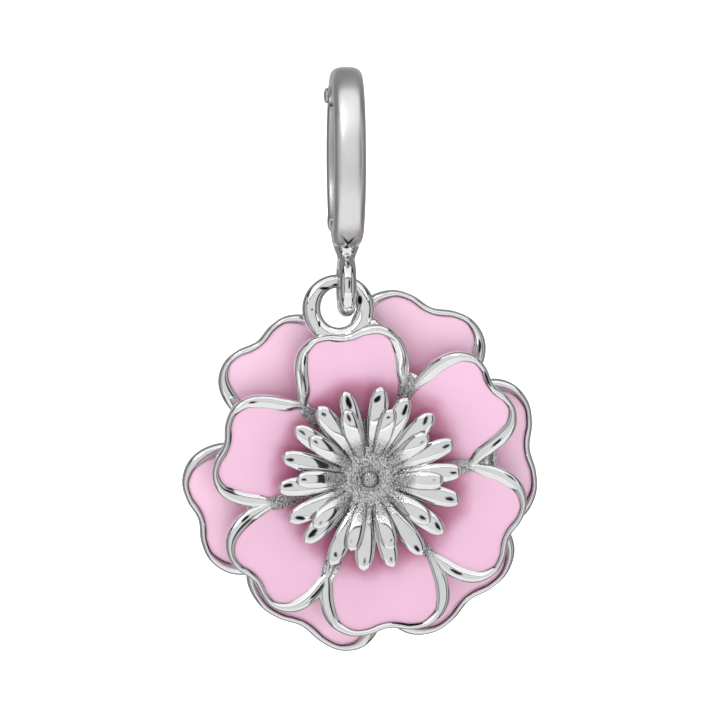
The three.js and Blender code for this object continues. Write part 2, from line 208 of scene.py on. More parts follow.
# A layer's level at its root, its rise at its reach, its thickness and its rims' width at the root
UPPER_LAYER = {"level": -0.35, "rise": 1.15, "reach": 9.5, "thick": 0.9, "rim_root": 0.36}
LOWER_LAYER = {"level": -1.96, "rise": 0.65, "reach": 10.6, "thick": 0.58, "rim_root": 0.8}
PETAL_ROOT = 3.0
PETAL_MIDDLE = 0.66
RIM_HEIGHT = 0.2
RIM_TIP = 0.42
RIM_SIDE = 0.86
RIM_ROOT_SHARES = (0.46, 0.66)
CELL_DEPTH = 0.32
POINTS_PER_SPAN = 12

# Painted dark reflections along the rims, as black lines: petal, from and to as shares of its
# outline anticlockwise from the tip, place across the rim from its outer edge, and half width
UPPER_RIM_REFLECTIONS = [
    (0, 0.17, 0.215, 0.72, 0.07),
    (0, 0.87, 0.94, 0.35, 0.09),
    (0, 0.02, 0.05, 0.85, 0.05),
    (1, 0.0, 0.05, 0.5, 0.08),
    (1, 0.73, 0.765, 0.5, 0.08),
    (2, 0.715, 0.755, 0.5, 0.1),
    (2, 0.2, 0.24, 0.25, 0.05),
    (3, 0.005, 0.095, 0.72, 0.08),
    (4, 0.24, 0.3, 0.45, 0.09),
    (4, 0.72, 0.75, 0.4, 0.09),
    (5, 0.95, 0.995, 0.8, 0.06),
    (5, 0.785, 0.82, 0.5, 0.06),
]
LOWER_RIM_REFLECTIONS = [
    (0, 0.27, 0.29, 0.5, 0.07),
    (1, 0.78, 0.82, 0.5, 0.1),
    (5, 0.24, 0.26, 0.5, 0.08),
]

# The granulated metal
BEAD_SIZE = 0.11
BEAD_RELIEF = 0.04

# The hanging loop: half sizes of its middle line, half thickness and half widths of its band
LOOP_MIDDLE = (LOOP_LOW + LOOP_HIGH) / 2
LOOP_HALF = (1.63, 1.69)
LOOP_WIRE = 0.46
LOOP_SIDE_BAND = 0.56
LOOP_TOP_BAND = 0.41
LOOP_LEAN = 14


# ---- Mesh tools ----


def smoothstep(x, low, high):
    """From 0 at low to 1 at high, with soft ends."""
    t = np.clip((np.asarray(x, float) - low) / (high - low), 0, 1)
    return t * t * (3 - 2 * t)


def catmull_rom(points, per_span, closed):
    """Points on a smooth curve through the given ones."""
    p = np.asarray(points, float)
    count = len(p) if closed else len(p) - 1
    out = []
    for i in range(count):
        index = np.array([i - 1, i, i + 1, i + 2])
        a, b, c, d = p[index % len(p)] if closed else p[np.clip(index, 0, len(p) - 1)]
        for t in np.arange(per_span) / per_span:
            linear = (c - a) * t
            square = (2 * a - 5 * b + 4 * c - d) * t**2
            cube = (3 * b - a - 3 * c + d) * t**3
            out.append((2 * b + linear + square + cube) / 2)
    if not closed:
        out.append(p[-1])
    return np.array(out)


def skin(rings, first=None, last=None):
    """Vertices and faces over rings of points, closed by a fan at each end or joined end to end."""
    rings = np.asarray(rings, float)
    count, around = rings.shape[:2]
    verts = list(rings.reshape(-1, 3))
    faces = []
    closed = first is None
    for r in range(count if closed else count - 1):
        here, there = r * around, (r + 1) % count * around
        for i in range(around):
            j = (i + 1) % around
            faces.append((here + i, here + j, there + j, there + i))
    if not closed:
        verts += [np.asarray(first, float), np.asarray(last, float)]
        low, high, top = len(verts) - 2, len(verts) - 1, (count - 1) * around
        for i in range(around):
            j = (i + 1) % around
            faces.append((low, j, i))
            faces.append((high, top + i, top + j))
    return np.array(verts), faces


def merge(parts):
    """Several (verts, faces) as one."""
    verts, faces, start = [], [], 0
    for v, f in parts:
        verts.append(v)
        faces += [tuple(i + start for i in face) for face in f]
        start += len(v)
    return np.concatenate(verts), faces


def lathe(profile, steps=64):
    """A round solid about the third axis, on which its profile starts and, above, ends."""
    profile = np.asarray(profile, float)
    turn = np.arange(steps) / steps * 2 * math.pi
    rings = [
        np.stack([r * np.cos(turn), r * np.sin(turn), np.full(steps, z)], axis=1)
        for r, z in profile[1:-1]
    ]
    return skin(rings, (0, 0, profile[0][1]), (0, 0, profile[-1][1]))


def ball(middle, half, steps=24):
    """An ellipsoid."""
    rise = np.linspace(-math.pi / 2, math.pi / 2, steps)
    verts, faces = lathe([(math.cos(t), math.sin(t)) for t in rise], 2 * steps)
    return verts * np.array(half) + np.array(middle), faces


def outwards(verts, faces):
    """A closed shell with its faces turned to point outwards."""
    volume = 0.0
    for face in faces:
        a = verts[face[0]]
        for i in range(1, len(face) - 1):
            volume += np.dot(a, np.cross(verts[face[i]], verts[face[i + 1]]))
    return verts, faces if volume >= 0 else [face[::-1] for face in faces]


def new_object(name, verts, faces):
    """A smooth-shaded mesh object."""
    mesh = bpy.data.meshes.new(name)
    mesh.from_pydata([tuple(v) for v in verts], [], faces)
    mesh.update()
    mesh.polygons.foreach_set("use_smooth", np.ones(len(mesh.polygons), bool))
    made = bpy.data.objects.new(name, mesh)
    bpy.context.scene.collection.objects.link(made)
    return made


def piece(name, verts, faces, material, body, nodes, grain=None, painted_shade_and_reflection=None):
    """A finished piece from millimetres, with its material, on its body, in place of CAD nodes."""
    made = new_object(name, np.asarray(verts) * MM, faces)
    for key, values in (("grain", grain), ("painted_shade_and_reflection", painted_shade_and_reflection)):
        if values is not None:
            made.data.attributes.new(key, "FLOAT", "POINT").data.foreach_set("value", values)
    made.data.materials.append(material)
    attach(made, body)
    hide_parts(*nodes)
    return made


def fuse(parts, voxel, smoothing, cuts=()):
    """Closed shells joined into one cast body with soft inner corners, less the cuts."""
    solid = new_object("fuse_body", *merge(parts))
    cutters = [new_object(f"fuse_cut_{i}", *cut) for i, cut in enumerate(cuts)]
    first = solid.modifiers.new("join", "REMESH")
    first.mode = "VOXEL"
    first.voxel_size = voxel
    for cutter in cutters:
        cut = solid.modifiers.new("cut", "BOOLEAN")
        cut.operation = "DIFFERENCE"
        cut.object = cutter
    if cutters:
        again = solid.modifiers.new("again", "REMESH")
        again.mode = "VOXEL"
        again.voxel_size = voxel
    soft = solid.modifiers.new("soft", "SMOOTH")
    soft.factor = 0.5
    soft.iterations = smoothing
    graph = bpy.context.evaluated_depsgraph_get()
    baked = bpy.data.meshes.new_from_object(solid.evaluated_get(graph))
    verts = np.zeros(len(baked.vertices) * 3)
    baked.vertices.foreach_get("co", verts)
    faces = [tuple(p.vertices) for p in baked.polygons]
    for made in [solid, *cutters]:
        bpy.data.objects.remove(made)
    return verts.reshape(-1, 3), faces


def beads(verts, size):
    """Heights of a granulated surface, 0 to 1: little domes of the given size, packed at random."""
    sharpness = 1.15
    heights = []
    for v in np.asarray(verts):
        near = noise.voronoi(Vector(v / size))[0]
        heights.append(math.sqrt(max(0.0, 1 - min(1.0, sharpness * near[0]) ** 2)))
    return np.array(heights)


def spots(verts, marks):
    """Painted shade and painted dark reflections, 0 to 1, in small ellipsoids: each mark is a
    middle and its three half sizes.
    """
    dark = np.zeros(len(verts))
    for middle, half in marks:
        away = np.linalg.norm((verts - np.array(middle)) / np.array(half), axis=1)
        dark = np.maximum(dark, 1 - smoothstep(away, 0.7, 1.15))
    return dark


def stand_up(verts):
    """From the flower's plane to the row's frame."""
    v = np.asarray(verts, float)
    return FLOWER + np.stack([v[:, 0], -v[:, 2], v[:, 1]], axis=1)


# ---- Materials ----


class Nodes:
    """A short way to write a node tree."""

    def __init__(self, tree):
        self.tree = tree
        tree.nodes.clear()

    def add(self, kind, inputs=None, **settings):
        node = self.tree.nodes.new(kind)
        for key, value in settings.items():
            setattr(node, key, value)
        for key, value in (inputs or {}).items():
            if isinstance(value, bpy.types.NodeSocket):
                self.tree.links.new(value, node.inputs[key])
            else:
                node.inputs[key].default_value = value
        return node

    def ramp(self, factor, stops):
        """A colour that runs linearly through the stops."""
        node = self.add("ShaderNodeValToRGB", {"Fac": factor})
        ramp = node.color_ramp
        while len(ramp.elements) < len(stops):
            ramp.elements.new(1.0)
        for element, (place, colour) in zip(ramp.elements, stops):
            element.position = place
            element.color = (*colour, 1)
        return node.outputs["Color"]


def metal(name, roughness, waviness):
    """Bright cast metal. Its grain attribute makes it granulated and darkens it between the
    granules with painted shade, and its other attribute blackens it with painted shade and painted
    dark reflections.
    """
    material = bpy.data.materials.new(name)
    material.use_nodes = True
    n = Nodes(material.node_tree)
    place = n.add("ShaderNodeTexCoord").outputs["Object"]
    grain = n.add("ShaderNodeAttribute", attribute_name="grain").outputs["Fac"]
    painted_shade_and_reflection = n.add("ShaderNodeAttribute", attribute_name="painted_shade_and_reflection").outputs["Fac"]
    stipple = n.add("ShaderNodeTexVoronoi", {"Vector": place, "Scale": 8800.0})
    tone = n.add("ShaderNodeTexNoise", {"Vector": place, "Scale": 420.0, "Detail": 3.0})
    dull, bright, black = (0.76, 0.765, 0.77), (0.84, 0.84, 0.845), (0.012, 0.012, 0.013, 1)
    clean = n.ramp(tone.outputs["Fac"], [(0.3, dull), (0.7, bright)])
    # Painted shade in the gaps between the granules
    painted_granule_shade = n.ramp(stipple.outputs["Distance"], [(0.25, (0.9, 0.9, 0.9)), (0.8, (0.3, 0.3, 0.3))])
    speckled = n.add(
        "ShaderNodeMix",
        {"Factor": grain, "A": clean, "B": painted_granule_shade},
        data_type="RGBA",
        blend_type="MULTIPLY",
    )
    # Black where the second attribute paints shade and dark reflections
    colour = n.add(
        "ShaderNodeMix",
        {"Factor": painted_shade_and_reflection, "A": speckled.outputs["Result"], "B": black},
        data_type="RGBA",
    )
    rub = n.add("ShaderNodeTexNoise", {"Vector": place, "Scale": 900.0, "Detail": 4.0})
    polish = n.add(
        "ShaderNodeMapRange",
        {"Value": rub.outputs["Fac"], "To Min": roughness * 0.7, "To Max": roughness * 1.4},
    )
    rough = n.add(
        "ShaderNodeMapRange",
        {"Value": grain, "To Min": polish.outputs["Result"], "To Max": 0.3},
    )
    swell = n.add("ShaderNodeTexNoise", {"Vector": place, "Scale": 260.0, "Detail": 1.0})
    cast = n.add(
        "ShaderNodeBump",
        {"Height": swell.outputs["Fac"], "Strength": waviness, "Distance": 0.0006},
    )
    strength = n.add("ShaderNodeMath", {0: grain, 1: 0.8}, operation="MULTIPLY")
    granules = n.add(
        "ShaderNodeBump",
        {
            "Height": stipple.outputs["Distance"],
            "Strength": strength.outputs[0],
            "Distance": 0.00005,
            "Normal": cast.outputs["Normal"],
        },
        invert=True,
    )
    shader = n.add(
        "ShaderNodeBsdfPrincipled",
        {
            "Base Color": colour.outputs["Result"],
            "Metallic": 1.0,
            "Roughness": rough.outputs["Result"],
            "Normal": granules.outputs["Normal"],
        },
    )
    n.add("ShaderNodeOutputMaterial", {"Surface": shader.outputs["BSDF"]})
    return material


def enamel(name, pale, deep, deep_from, deep_to):
    """Glossy enamel, pale beyond the radius deep_to and deeper rose inside deep_from."""
    material = bpy.data.materials.new(name)
    material.use_nodes = True
    n = Nodes(material.node_tree)
    place = n.add("ShaderNodeTexCoord").outputs["Object"]
    axis = [FLOWER[0] * MM, 0.0, FLOWER[2] * MM]
    flat = n.add("ShaderNodeVectorMath", {0: place, 1: (1, 0, 1)}, operation="MULTIPLY")
    away = n.add("ShaderNodeVectorMath", {0: flat.outputs[0], 1: axis}, operation="DISTANCE")
    blotch = n.add("ShaderNodeTexNoise", {"Vector": place, "Scale": 350.0, "Detail": 3.0})
    blotch_size = 0.0016
    wander = n.add(
        "ShaderNodeMath",
        {0: blotch.outputs["Fac"], 1: blotch_size, 2: away.outputs["Value"]},
        operation="MULTIPLY_ADD",
    )
    share = n.add(
        "ShaderNodeMapRange",
        {
            "Value": wander.outputs[0],
            "From Min": deep_from * MM + blotch_size / 2,
            "From Max": deep_to * MM + blotch_size / 2,
        },
        interpolation_type="SMOOTHERSTEP",
    )
    colour = n.add(
        "ShaderNodeMix",
        {"Factor": share.outputs["Result"], "A": (*deep, 1), "B": (*pale, 1)},
        data_type="RGBA",
    )
    return finish_enamel(n, material, place, colour.outputs["Result"])


def finish_enamel(n, material, place, colour):
    """The enamel's clouding, its uneven flow and its gloss."""
    cloud = n.add("ShaderNodeTexNoise", {"Vector": place, "Scale": 160.0, "Detail": 2.0})
    shade = n.ramp(cloud.outputs["Fac"], [(0.3, (0.95, 0.95, 0.95)), (0.7, (1.0, 1.0, 1.0))])
    tinted = n.add(
        "ShaderNodeMix",
        {"Factor": 1.0, "A": colour, "B": shade},
        data_type="RGBA",
        blend_type="MULTIPLY",
    )
    flow = n.add("ShaderNodeTexNoise", {"Vector": place, "Scale": 500.0, "Detail": 2.0})
    bump = n.add(
        "ShaderNodeBump", {"Height": flow.outputs["Fac"], "Strength": 0.12, "Distance": 0.0002}
    )
    rub = n.add("ShaderNodeTexNoise", {"Vector": place, "Scale": 1200.0, "Detail": 3.0})
    rough = n.add(
        "ShaderNodeMapRange", {"Value": rub.outputs["Fac"], "To Min": 0.12, "To Max": 0.24}
    )
    shader = n.add(
        "ShaderNodeBsdfPrincipled",
        {
            "Base Color": tinted.outputs["Result"],
            "Roughness": rough.outputs["Result"],
            "Normal": bump.outputs["Normal"],
            "Coat Weight": 0.35,
            "Coat Roughness": 0.06,
        },
    )
    n.add("ShaderNodeOutputMaterial", {"Surface": shader.outputs["BSDF"]})
    return material


SILVER = metal("polished_silver", 0.09, 0.12)
SATIN = metal("satin_silver", 0.34, 0.06)
PINK = enamel("front_pink_enamel", (0.755, 0.46, 0.62), (0.54, 0.175, 0.30), 4.8, 6.5)
# The back layer's enamel is a shaded copy of the pink: its deeper rose towards the middle is
# painted shade from the front petals
SHADED_PINK = enamel("shaded_back_pink_enamel", (0.90, 0.58, 0.745), (0.89, 0.42, 0.61), 6.0, 9.8)


# ---- Bail ----


def on_bail(degrees, out, x):
    """A point of the strap: out is measured from its centreline, away from the opening."""
    turn = np.radians(degrees)
    y = BAIL_CENTRE[1] + (BAIL_HALF_DEPTH + out) * np.cos(turn)
    z = BAIL_CENTRE[2] + (BAIL_HALF_HEIGHT + out) * np.sin(turn)
    return np.stack(np.broadcast_arrays(x, y, z), axis=-1)


def strap(start, end, steps, half_width, inner=-STRAP / 2, outer=STRAP / 2):
    """A length of strap, flat inside and crowned outside."""
    turn = -np.arange(STRAP_POINTS) / STRAP_POINTS * 2 * math.pi
    split = inner + CROWN_START * (outer - inner)
    rings = []
    for angle in np.linspace(start, end, steps + 1):
        across, rise = np.cos(turn), np.sin(turn)
        crown = rise >= 0
        power = np.where(crown, 2 / CROWN_POWER, 2 / FLAT_POWER)
        x = half_width(angle) * np.sign(across) * np.abs(across) ** power
        height = np.where(crown, outer - split, split - inner)
        out = split + height * np.sign(rise) * np.abs(rise) ** power
        rings.append(on_bail(angle, out, x))
    return skin(rings, on_bail(start, split, 0.0), on_bail(end, split, 0.0))


def across_x(radius, start, end, bevel=0.05, steps=48):
    """A round bar along X through the hinge pin's axis."""
    profile = [
        (0, start),
        (radius - bevel, start),
        (radius, start + bevel),
        (radius, end - bevel),
        (radius - bevel, end),
        (0, end),
    ]
    verts, faces = lathe(profile, steps)
    turned = np.stack([verts[:, 2], verts[:, 0], verts[:, 1]], axis=1)
    return turned + np.array([0, PIN[1], PIN[2]]), faces


def front_half_width(angle):
    narrowing = smoothstep(angle, *FOOT_TAPER)
    return STRAP_HALF_WIDTH + (FOOT_HALF_WIDTH - STRAP_HALF_WIDTH) * narrowing


def gate_half_width(angle):
    return STRAP_HALF_WIDTH + CATCH_BULGE * math.exp(-(((angle - CATCH_ANGLE) / CATCH_FADE) ** 2))


def eye_and_neck():
    """The eye that the flower's loop runs through, and the neck that joins it to the bail."""
    turn = np.arange(72) / 72 * 2 * math.pi
    around = np.arange(32) / 32 * 2 * math.pi
    rings = []
    for t in turn:
        radius = EYE_MAJOR + EYE_WIRE * np.cos(around)
        y = LINK[1] + radius * math.cos(t)
        z = LINK[2] + radius * math.sin(t)
        rings.append(np.stack([EYE_WIRE * np.sin(around), y, z], axis=1))
    eye = skin(rings)
    rings = []
    for above, half_x, half_y in catmull_rom(NECK_LEVELS, 5, closed=False):
        level = np.full(len(around), LINK[2] + above)
        rings.append(np.stack([half_x * np.cos(around), half_y * np.sin(around), level], axis=1))
    return eye, skin(rings, rings[0].mean(axis=0), rings[-1].mean(axis=0))


def bail_front():
    """The front of the bail with its fork, its seat for the latch, and its neck and eye."""
    slot_half = TONGUE_HALF_WIDTH + 0.06
    parts = [
        strap(HINGE_ANGLE, FOOT_ANGLE, 160, front_half_width),
        across_x(KNUCKLE_RADIUS, -STRAP_HALF_WIDTH, STRAP_HALF_WIDTH),
        *eye_and_neck(),
    ]
    seat = strap(360 + LATCH_ANGLE - LATCH_LAP - 1, FOOT_ANGLE + 3, 12, lambda a: 1.2, -0.02, 0.8)
    cuts = [
        across_x(KNUCKLE_RADIUS + 0.1, -slot_half, slot_half),
        across_x(PIN_RADIUS + PIN_PLAY, -THROUGH, THROUGH),
        seat,
        ball((-0.04, -1.35, -9.66), (0.2, 0.3, 0.13)),
    ]
    verts, faces = fuse(parts, voxel=0.045, smoothing=7, cuts=cuts)
    # Painted shade makes a dark crease down both sides to the middle of the foot and darkens a pit;
    # painted dark reflections make some dashes
    crease_half, crease_slope = 0.36, 1.4
    crease = [
        ((x, -1.7, POLISH_TOP + crease_slope * abs(x)), (0.08, 0.6, 0.09))
        for x in np.linspace(-crease_half, crease_half, 15)
    ]
    marks = [
        *crease,
        ((-0.06, -1.3, -9.66), (0.16, 0.6, 0.11)),
        # Painted dark reflections as dashes on the neck and the eye
        ((0.03, -1.0, -10.27), (0.07, 0.6, 0.08)),
        ((0.03, -1.2, -10.6), (0.09, 0.6, 0.12)),
        ((0.05, -1.85, -11.8), (0.07, 0.6, 0.32)),
    ]
    bail = piece(
        "bail_front_cast", verts, faces, SATIN, "bail", ["bail_front"],
        painted_shade_and_reflection=spots(verts, marks),
    )
    # The strap is satin and the neck and eye below its crease are polished
    bail.data.materials.append(SILVER)
    for face in bail.data.polygons:
        face.material_index = int(face.center.z < POLISH_TOP * MM)


def bail_gate():
    """The gate: its strap, its tongue in the fork, and the lap that snaps over the front."""
    clear = across_x(KNUCKLE_RADIUS + 0.08, -THROUGH, THROUGH)
    length = strap(LATCH_ANGLE, HINGE_ANGLE, 100, gate_half_width)
    body = fuse([length], voxel=0.05, smoothing=0, cuts=[clear])
    tongue = [
        across_x(KNUCKLE_RADIUS, -TONGUE_HALF_WIDTH, TONGUE_HALF_WIDTH),
        strap(HINGE_ANGLE - 12, HINGE_ANGLE, 12, lambda a: TONGUE_HALF_WIDTH),
        strap(LATCH_ANGLE - LATCH_LAP, LATCH_ANGLE + 2, 12, lambda a: 0.5, 0.06, STRAP / 2),
    ]
    hole = across_x(PIN_RADIUS + PIN_PLAY, -THROUGH, THROUGH)
    verts, faces = fuse([body, *tongue], voxel=0.05, smoothing=8, cuts=[hole])
    # Painted shade darkens the side of the strap that faces into the opening
    across = (verts[:, 1] - BAIL_CENTRE[1]) / BAIL_HALF_DEPTH
    up = (verts[:, 2] - BAIL_CENTRE[2]) / BAIL_HALF_HEIGHT
    inner_side_shade = 0.35 * (1 - smoothstep(np.hypot(across, up), 0.88, 1.0))
    piece(
        "bail_gate_cast", verts, faces, SATIN, "gate", ["bail_gate"],
        painted_shade_and_reflection=inner_side_shade,
    )


def hinge_pin():
    """The rivet: flush on one side, with a domed head on the other."""
    low, high = box_mm("hinge_pin")
    flush, top = high[0], -low[0]
    profile = [
        (0, -flush),
        (PIN_RADIUS - 0.05, -flush),
        (PIN_RADIUS, -flush + 0.05),
        (PIN_RADIUS, flush + 0.02),
        (PIN_HEAD_RADIUS, flush + 0.02),
        *[
            (PIN_HEAD_RADIUS * math.cos(t), flush + 0.05 + (top - flush - 0.05) * math.sin(t))
            for t in np.linspace(0, math.pi / 2, 12)[:-1]
        ],
        (0, top),
    ]
    verts, faces = lathe(profile, 48)
    turned = np.stack([-verts[:, 2], verts[:, 0], -verts[:, 1]], axis=1)
    turned += np.array([0, PIN[1], PIN[2]])
    turned, faces = outwards(turned, faces)
    piece("hinge_pin_rivet", turned, faces, SATIN, "bail", ["hinge_pin"])


# ---- Petals ----

OUTLINE_POINTS = POINTS_PER_SPAN * (2 * len(HALF_PETAL) - 1)


def unit_outline(broad_left, broad_right):
    """A petal's outline in half widths and lengths, anticlockwise."""
    plain, broad = np.array(HALF_PETAL), np.array(BROAD_HALF_PETAL)
    right = plain + (broad - plain) * broad_right
    left = (plain + (broad - plain) * broad_left) * (-1, 1)
    return catmull_rom(np.concatenate([right, left[:0:-1]]), POINTS_PER_SPAN, closed=True)[::-1]


def level_at(layer, radius):
    """How far out towards the viewer a layer lies at a radius."""
    share = np.clip((radius - PETAL_ROOT) / (layer["reach"] - PETAL_ROOT), 0, 1.2)
    return layer["level"] + layer["rise"] * share**1.3


def petal_outline(petal):
    """The outline and its inward normals, anticlockwise, with the petal pointing up."""
    _, length, half, lean, broad_left, broad_right = petal
    x, y = unit_outline(broad_left, broad_right).T
    points = np.stack([x * half, y * length * (1 - lean * x)], axis=1)
    along = np.roll(points, -1, axis=0) - np.roll(points, 1, axis=0)
    along /= np.linalg.norm(along, axis=1)[:, None]
    return points, np.stack([-along[:, 1], along[:, 0]], axis=1)


def rim_width(petal, layer, points, inward):
    """Narrow between the roots, widest along the sides."""
    outer = RIM_TIP + (RIM_SIDE - RIM_TIP) * inward[:, 0] ** 2
    outwards = smoothstep(points[:, 1] / petal[1], *RIM_ROOT_SHARES)
    return layer["rim_root"] + (outer - layer["rim_root"]) * outwards


def petal_ring(petal, layer, rims, inset, shrink, lift):
    """The outline moved in by rim widths and millimetres, then shrunk towards its middle."""
    points, inward = petal_outline(petal)
    width = rim_width(petal, layer, points, inward)
    moved = points + inward * (rims * width + inset)[:, None]
    moved += (np.array([0, petal[1] * PETAL_MIDDLE]) - moved) * shrink
    turn = math.radians(petal[0] - 90)
    x = moved[:, 0] * math.cos(turn) - moved[:, 1] * math.sin(turn)
    y = moved[:, 0] * math.sin(turn) + moved[:, 1] * math.cos(turn)
    return np.stack([x, y, level_at(layer, np.hypot(x, y)) + lift], axis=1)


def petal_middle(petal, layer, lift):
    """The point that a petal's surfaces close on."""
    radius = petal[1] * PETAL_MIDDLE
    turn = math.radians(petal[0])
    level = float(level_at(layer, radius)) + lift
    return np.array([radius * math.cos(turn), radius * math.sin(turn), level])


def petal_shell(petal, layer, profile, first_lift, last_lift):
    """A closed shell over stations of rims, inset, shrink and lift."""
    rings = [petal_ring(petal, layer, *station[:4]) for station in profile]
    first, last = (petal_middle(petal, layer, lift) for lift in (first_lift, last_lift))
    return skin(rings, first, last)


def petal_casting(petal, layer):
    """A petal with a rolled rim round an open cell. Its stations end with their painted shade, dark
    in the groove between the rim and the enamel.
    """
    thick = layer["thick"]
    profile = [
        (0, 0.9, 0.5, 0.08 - thick, 0),
        (0, 0.9, 0.1, -thick, 0),
        (0, 0.3, 0, 0.01 - thick, 0),
        (0, 0.07, 0, 0.12 - thick, 0),
        (0, 0, 0, 0.36 - thick, 0),
        (0, 0, 0, -0.2, 0),
        (0.05, 0, 0, -0.02, 0),
        (0.16, 0, 0, 0.55 * RIM_HEIGHT, 0),
        (0.34, 0, 0, 0.95 * RIM_HEIGHT, 0),
        (0.56, 0, 0, RIM_HEIGHT, 0),
        (0.78, 0, 0, 0.78 * RIM_HEIGHT, 0),
        (0.94, 0, 0, 0.4 * RIM_HEIGHT, 0),
        # Painted shade darkens the groove between the rim's inner edge and the enamel
        (1.0, 0, 0, 0.0, 0.5),
        (1.0, 0.03, 0, -CELL_DEPTH, 0.7),
        (1.0, 0.3, 0.2, -CELL_DEPTH, 0),
    ]
    stations = catmull_rom(profile, 4, closed=False)
    verts, faces = petal_shell(petal, layer, stations, 0.1 - thick, -CELL_DEPTH)
    painted_shade_and_reflection = np.repeat(np.clip(stations[:, 4], 0, 1), OUTLINE_POINTS)
    return verts, faces, np.concatenate([painted_shade_and_reflection, [0, 0]])


def petal_enamel(petal, layer):
    """The enamel in a petal's cell: a shallow dome that curls up to the rim."""
    profile = [
        (1.0, 0.1, 0.3, 0.05 - CELL_DEPTH),
        (1.0, 0.03, 0, 0.05 - CELL_DEPTH),
        (0.98, 0, 0, 0.03),
        (1.0, 0.06, 0, 0.0),
        (1.0, 0.2, 0.04, 0.0),
        (1.0, 0.3, 0.25, 0.03),
        (1.0, 0.3, 0.55, 0.05),
        (1.0, 0.3, 0.85, 0.05),
    ]
    stations = catmull_rom(profile, 4, closed=False)
    return petal_shell(petal, layer, stations, 0.05 - CELL_DEPTH, 0.05)


def rim_reflection_marks(petals, layer, lines):
    """The painted dark reflections along a layer's rims as rows of marks for spots()."""
    marks = []
    for index, start, stop, across, half_width in lines:
        crest = petal_ring(petals[index], layer, across, 0, 0, RIM_HEIGHT)
        steps = np.arange(round(start * OUTLINE_POINTS), round(stop * OUTLINE_POINTS) + 1)
        for step, share in zip(steps, np.linspace(0.15, 0.85, len(steps))):
            size = half_width * math.sin(math.pi * share)
            marks.append((crest[step % OUTLINE_POINTS], (size, size, 0.3)))
    return marks


def side_direction(petal, side, radius):
    """The direction, in degrees, in which a petal's left or right side lies at a radius."""
    points, _ = petal_outline(petal)
    widest_part = 0.86
    half = points[(points[:, 0] * side > 0) & (points[:, 1] < widest_part * petal[1])]
    away = np.hypot(half[:, 0], half[:, 1])
    order = np.argsort(away)
    lean = np.degrees(np.arctan2(half[:, 0], half[:, 1]))
    return petal[0] - np.interp(radius, away[order], lean[order])


def valley(left, right, end):
    """The web of metal between two neighbouring petals. It sinks to a pit where they part."""
    radii = np.arange(VALLEY_START, end, VALLEY_STEP)
    shares = np.linspace(-1, 1, VALLEY_POINTS)
    start = np.array([side_direction(left, 1, r) for r in radii])
    stop = np.array([side_direction(right, -1, r) for r in radii])
    stop = start + (stop - start + 180) % 360 - 180
    middle, spread = (start + stop) / 2, np.abs(stop - start) / 2
    lap = VALLEY_LAP - VALLEY_LAP_LOSS * smoothstep(radii, 5.8, 6.8)
    reach = spread + np.degrees(lap / radii)
    sink = 0.5 * smoothstep(radii, end - 0.7, end - 0.05)
    turn = np.radians(middle[:, None] + reach[:, None] * shares[None, :])
    x, y = radii[:, None] * np.cos(turn), radii[:, None] * np.sin(turn)
    dip = 0.07 * (1 - shares[None, :] ** 2) * smoothstep(radii, 5.0, 7.0)[:, None]
    z = level_at(UPPER_LAYER, radii)[:, None] + 0.7 * RIM_HEIGHT - sink[:, None] - dip
    top = np.stack([x, y, z], axis=2)
    top[:, :, 2] += BEAD_RELIEF * (beads(top.reshape(-1, 3), BEAD_SIZE).reshape(x.shape) - 0.5)
    under = top.copy()
    under[:, :, 2] = level_at(UPPER_LAYER, radii)[:, None] - VALLEY_DEPTH
    rings = np.concatenate([top, under[:, ::-1]], axis=1)
    return outwards(*skin(rings, rings[0].mean(axis=0), rings[-1].mean(axis=0)))


def fade_out(verts, start, end):
    """1 inside the radius start, 0 beyond the radius end."""
    return 1 - smoothstep(np.hypot(verts[:, 0], verts[:, 1]), start, end)


def upper_petals():
    """The front casting with the webs between its petals, and the enamel in its cells."""
    shells = [petal_casting(petal, UPPER_LAYER) for petal in UPPER_PETALS]
    # The petals go round clockwise, so each one's right side faces the next one's left side
    after = UPPER_PETALS[1:] + UPPER_PETALS[:1]
    valleys = [valley(*both) for both in zip(UPPER_PETALS, after, VALLEY_ENDS)]
    back = UPPER_LAYER["level"] - UPPER_LAYER["thick"]
    hub_profile = [(0, back), (3.2, back), (3.3, back + 0.1), (3.3, -0.5), (3.2, -0.4), (0, -0.4)]
    hub = lathe(hub_profile, 96)
    verts, faces = merge([*[shell[:2] for shell in shells], *valleys, hub])
    castings = sum(len(shell[0]) for shell in shells)
    webs = [fade_out(v, end - GRANULE_FADE, end) for (v, _), end in zip(valleys, GRANULE_ENDS)]
    grain = np.concatenate([fade_out(verts[:castings], 5.6, 6.6), *webs, np.ones(len(hub[0]))])
    # Painted dark reflections along the rims, and painted shade in the grooves round the cells
    painted_shade_and_reflection = spots(verts, rim_reflection_marks(UPPER_PETALS, UPPER_LAYER, UPPER_RIM_REFLECTIONS))
    rims = np.concatenate([shell[2] for shell in shells])
    painted_shade_and_reflection[:castings] = np.maximum(painted_shade_and_reflection[:castings], rims)
    piece(
        "front_petal_casting", stand_up(verts), faces, SILVER, "flower",
        ["upper_petals"], grain, painted_shade_and_reflection,
    )
    for i, petal in enumerate(UPPER_PETALS):
        verts, faces = petal_enamel(petal, UPPER_LAYER)
        name = f"upper_enamel_{i + 1}"
        piece(f"front_cell_{i + 1}", stand_up(verts), faces, PINK, "flower", [name])


